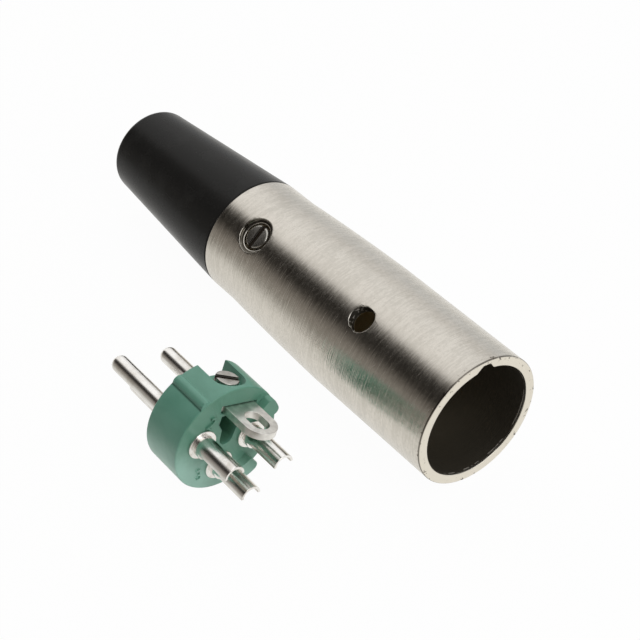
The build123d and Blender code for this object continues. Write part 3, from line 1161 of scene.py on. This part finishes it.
def makeScrew(name, size, matrix, thread, leftHand):
    headSeat = size["headLevel"] - size["headHeight"]
    core = size["shankRadius"] - size["ridge"]
    if "buttonRadius" in size:
        low = size["buttonTop"] - size["buttonHeight"]
        tip = [
            (low, 0, 0),
            (low, size["buttonRadius"], 0.08),
            (size["buttonTop"], size["buttonRadius"], 0.08),
            (size["buttonTop"], size["neckRadius"], 0),
            (size["tipLevel"], size["neckRadius"], 0),
            (size["tipLevel"], core, 0),
        ]
    else:
        tip = [(size["tipLevel"], 0, 0), (size["tipLevel"], core, 0.15)]
    corners = tip + [
        (headSeat, core, 0),
        (headSeat, size["headRadius"], 0.06),
        (size["headLevel"], size["headRadius"], size["edge"]),
        (size["headLevel"], 0, 0),
    ]
    piece = turned(name, rounded(corners, 5), 72)
    half = size["slotWidth"] / 2
    wide = 2 * size["headRadius"]
    turn = Matrix.Rotation(radians(size["slotTurn"]), 4, "Z")
    bottom = size["headLevel"] - size["slotDepth"]
    combine(piece, prism("slot", rectangle(-wide, -half, wide, half), bottom, size["headLevel"] + 1, turn))
    mesh = softened(piece, size["softEdge"]).data

    # grease and painted shade in the slot, weaker painted shade down the head's side
    def grime(at):
        inSlot = at.xy.length < (size["headRadius"] - 0.02) * mm
        depth = (size["headLevel"] - screwLook["grimeStart"]) * mm - at.z
        share = min(1.0, max(0.0, depth / (screwLook["grimeSpan"] * mm)))
        return share * (1.0 if inSlot else screwLook["grimeOutside"])

    markRecess(mesh, grime)
    bpy.data.objects.remove(piece)
    threaded = headSeat - size["tipLevel"] - 2 * size["ridge"]
    piece = grown(name, thread, {
        "Radius": core * mm,
        "Pitch": size["pitch"] * mm,
        "Turns": threaded / size["pitch"],
        "Start": (size["tipLevel"] + size["ridge"]) * mm,
        "Ridge": size["ridge"] * mm,
        "Left Hand": leftHand,
    }, mesh)
    piece.data.transform(matrix)
    return smoothed(piece)


thread = threadTree()
lockScrew = makeScrew("lockScrew", lockScrewSize, pocketFrame, thread, True)
clampScrews = {
    side: makeScrew("clampScrew" + side.capitalize(), clampScrewSize, place, thread, False)
    for side, place in clampFrames.items()
}
print("screws made")


# Clamp jaws

jaw = {
    "length": 6.0,
    "radius": 5.3,
    "bite": 3.7,
    "edgeLevel": 2.2,
    "toothDepth": 0.3,
    "toothCount": 3,
    "neckHole": 0.86,
    "buttonHole": 1.21,
    "buttonLevel": 4.44,
    "softEdge": 0.06,
}


jawLook = {
    "colour": shade(0.50, 0.48, 0.44),
    "stained": shade(0.38, 0.36, 0.33),
    "roughness": 0.38,
    "toolDepth": 0.006,
    "noises": {"tool": ((7000, 500, 500), 2.0, 0.5), "stain": (500.0, 3.0, 0.6)},
}


def machinedJaw(graph, place, look):
    # turned all over, so its marks run round the barrel's axis
    tool, stain = graph.noises(place, look)
    return {
        "Base Color": graph.mixed(stain, look["colour"], look["stained"]),
        "Roughness": look["roughness"] + (tool - 0.5) * 0.2,
        "Normal": bumped(graph, tool, look["toolDepth"], 0.7),
    }


materials["jaw"] = newMaterial("machinedJaw", allMetal, machinedJaw, jawLook)


def makeJaw(name, angle, teeth):
    size = jaw
    outerTurn, innerTurn = (90 - degrees(asin(size["edgeLevel"] / size[arc])) for arc in ("radius", "bite"))
    outline = arcPoints((0, 0), size["radius"], -outerTurn, outerTurn, 40)
    outline += arcPoints((0, 0), size["bite"], innerTurn, -innerTurn, 32)
    block = prism(name, outline, -size["length"] / 2, size["length"] / 2)
    body = block.data
    bpy.data.objects.remove(block)
    spacing = size["length"] / size["toothCount"]
    groove = drill(plain, size["bite"] + size["toothDepth"], -spacing / 4, spacing / 4, 96)
    piece = grown(name, teeth, {
        "Object": groove,
        "Count": size["toothCount"],
        "Spacing": spacing * mm,
        "Start": (spacing - size["length"]) / 2 * mm,
    }, body)
    bpy.data.objects.remove(groove)
    upright = axesMatrix((0, 0, 0), (0, 1, 0), (0, 0, 1))
    combine(piece, drill(upright, size["neckHole"], 0, size["radius"] + 1, 40))
    combine(piece, drill(upright, size["buttonHole"], 0, size["buttonLevel"], 40))
    softened(piece, size["softEdge"])
    side = outwards(angle).cross(Vector((1, 0, 0)))
    piece.data.transform(axesMatrix((-barrel["clampSetback"] * mm, 0, 0), (1, 0, 0), side))
    return smoothed(piece)


teeth = toothTree()
clampJaws = {
    side: makeJaw("clampJaw" + side.capitalize(), angle, teeth)
    for side, angle in clampAngles.items()
}
print("jaws made")


# Contact numbers moulded on the insert's face

numbers = {
    "size": 2.5,
    "narrow": 0.85,
    "height": 0.28,
    "marks": [("3", (-2.88, -5.0), 17.8), ("2", (-3.45, 2.95), -20.0)],
}


def makeNumber(text, place, turn):
    words = bpy.data.curves.new("contactNumber", "FONT")
    words.body = text
    words.size = numbers["size"] * mm
    words.extrude = numbers["height"] * mm
    words.align_x = words.align_y = "CENTER"
    holder = newPiece("numberShape", words)
    graph = bpy.context.evaluated_depsgraph_get()
    mesh = bpy.data.meshes.new_from_object(holder.evaluated_get(graph))
    bpy.data.objects.remove(holder)
    flat = Matrix.Translation((place[0] * mm, place[1] * mm, insert["thickness"] * mm))
    narrow = Matrix.Diagonal((numbers["narrow"], 1, 1, 1))
    mesh.transform(insertFrame @ flat @ Matrix.Rotation(radians(turn), 4, "Z") @ narrow)
    return newPiece("contactNumber" + text, mesh)


contactNumbers = [makeNumber(*mark) for mark in numbers["marks"]]


# Bodies, nodes and finishes

def dress(piece, body, nodes, material):
    piece.data.materials.clear()
    piece.data.materials.append(materials[material])
    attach(piece, body)
    if nodes:
        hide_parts(*nodes)


dress(barrelShell, "plug", ["shell"], "nickel")
dress(strainReliefBoot, "plug", ["strain_relief_boot"], "rubber")
dress(insertBody, "plug", ["insert_body"], "moulding")
dress(contacts, "plug", ["pin_1", "pin_2", "pin_3"], "silver")
dress(groundLug, "plug", ["ground_lug"], "tin")
dress(lockScrew, "lock_screw", ["lock_screw"], "screw")
for contactNumber in contactNumbers:
    dress(contactNumber, "plug", [], "moulding")
for side in clampFrames:
    dress(clampScrews[side], "clamp_screw_" + side, ["clamp_screw_" + side], "screw")
    dress(clampJaws[side], "clamp_jaw_" + side, ["clamp_jaw_" + side], "jaw")
print("pieces dressed")


# Studio: pale floor, soft lights, camera

studio = {
    "cameraPlace": (107.34, -105.65, 141.76),
    "cameraTilt": 50.0,
    "cameraTurn": 52.95,
    "lens": 92.81,
    "sensor": 36.0,
    "clip": (10, 10000),
    "floorSize": 4000.0,
    "level": 1.05,
    # angle round the barrel's axis from up, brightness, share of blue
    "walls": [
        (-180, 0.95, 1.0), (-128, 0.90, 0.92), (-100, 0.36, 0.86), (-78, 0.28, 0.84),
        (-66, 0.13, 0.82), (-55, 0.026, 0.8), (-34, 0.026, 0.8), (-23, 0.20, 0.9),
        (-13, 0.90, 0.97), (-4, 1.0, 0.98), (40, 1.0, 1.0), (57, 0.79, 0.96),
        (75, 0.73, 1.01), (98, 0.70, 1.10), (115, 0.95, 1.1), (180, 0.95, 1.0),
    ],
    "dark": {"toward": (0.62, 0.38, 0.68), "inner": 0.95, "outer": 0.88, "level": 0.12},
    # the paper, how it looks in reflections near the plug and far from it, and how much of it glows
    "paper": (shade(0.90, 0.90, 0.90), shade(0.93, 0.93, 0.93)),
    "fibre": (900.0, 3.0, 0.6),
    "mirrored": (shade(1, 0.99, 0.96), shade(0.36, 0.345, 0.31)),
    "nearFade": (-12, -78),
    "farFade": (45, 150, 0.0, 0.4),
    "floorSeen": 0.97,
    "floorMirrored": 0.92,
    "lampPlace": (330, 40, 330),
    "lampSize": 300,
    "lampPower": 0.55,
    "lampTarget": (-30, -10, 0),
}


def makeCamera():
    view = bpy.data.cameras.new("camera")
    view.lens = studio["lens"]
    view.sensor_width = studio["sensor"]
    view.clip_start, view.clip_end = (limit * mm for limit in studio["clip"])
    camera = newPiece("camera", view)
    camera.location = Vector(studio["cameraPlace"]) * mm
    camera.rotation_euler = (radians(studio["cameraTilt"]), 0, radians(studio["cameraTurn"]))
    scene.camera = camera


def makeFloor():
    half = studio["floorSize"] / 2 * mm
    level = cadBounds[0][2]
    corners = [(-half, -half, level), (half, -half, level), (half, half, level), (-half, half, level)]
    floor = newPiece("floor", meshOf("floor", corners, [(0, 1, 2, 3)]))
    paper = bpy.data.materials.new("paper")
    paper.use_nodes = True
    paper.node_tree.nodes.clear()
    graph = Graph(paper.node_tree)
    ray = graph.add("ShaderNodeLightPath")
    place = graph.add("ShaderNodeTexCoord").out("Object")
    tone = graph.mixed(graph.noise(place, *studio["fibre"]), *studio["paper"])
    matt = graph.add("ShaderNodeBsdfDiffuse", {}, {"Color": tone})
    y = graph.parts(place)[1]
    far = graph.reach(y, *studio["nearFade"]) + graph.reach(y, *studio["farFade"])
    mirrored = graph.mixed(far, *studio["mirrored"])
    colour = graph.mixed(ray.out("Is Glossy Ray"), shade(1, 1, 1), mirrored)
    glow = graph.add("ShaderNodeEmission", {}, {"Color": colour, "Strength": 1.0})
    seen = ray.out("Is Camera Ray") * studio["floorSeen"] + ray.out("Is Glossy Ray") * studio["floorMirrored"]
    mix = graph.add("ShaderNodeMixShader", {}, {0: seen, 1: matt, 2: glow})
    graph.add("ShaderNodeOutputMaterial", {}, {"Surface": mix})
    floor.data.materials.append(paper)


def makeWorld():
    world = bpy.data.worlds.new("studio")
    scene.world = world
    world.use_nodes = True
    world.node_tree.nodes.clear()
    graph = Graph(world.node_tree)
    ray = graph.add("ShaderNodeLightPath")
    place = graph.add("ShaderNodeTexCoord").out("Generated")
    y, z = graph.parts(place)[1:]
    around = graph.maths("ARCTAN2", y, z) / (2 * pi) + 0.5
    stops = [
        (angle / 360 + 0.5, shade(level, level * (0.5 + blue / 2), level * blue))
        for angle, level, blue in studio["walls"]
    ]
    walls = graph.add("ShaderNodeValToRGB", {"stops": stops}, {0: around})
    dark = studio["dark"]
    toward = Vector(dark["toward"]).normalized()
    facing = graph.add("ShaderNodeVectorMath", {"operation": "DOT_PRODUCT"}, {0: place, 1: toward}, 1)
    shaded = graph.spread(facing, dark["outer"], dark["inner"], 1.0, dark["level"])
    # the camera sees plain white, and the pieces mirror the walls
    seen = ray.out("Is Camera Ray")
    colour = graph.mixed(seen, walls, shade(1, 1, 1))
    strength = shaded * studio["level"] * (1 - seen) + seen
    back = graph.add("ShaderNodeBackground", {}, {"Color": colour, "Strength": strength})
    graph.add("ShaderNodeOutputWorld", {}, {"Surface": back})


def makeLamp():
    light = bpy.data.lights.new("highLamp", "AREA")
    light.shape = "SQUARE"
    light.size = studio["lampSize"] * mm
    light.energy = studio["lampPower"]
    lamp = newPiece("highLamp", light)
    lamp.location = Vector(studio["lampPlace"]) * mm
    aim = Vector(studio["lampTarget"]) * mm - lamp.location
    lamp.rotation_euler = aim.to_track_quat("-Z", "Y").to_euler()


makeCamera()
makeFloor()
makeWorld()
makeLamp()
scene.view_settings.view_transform = "Standard"

print("scene done")
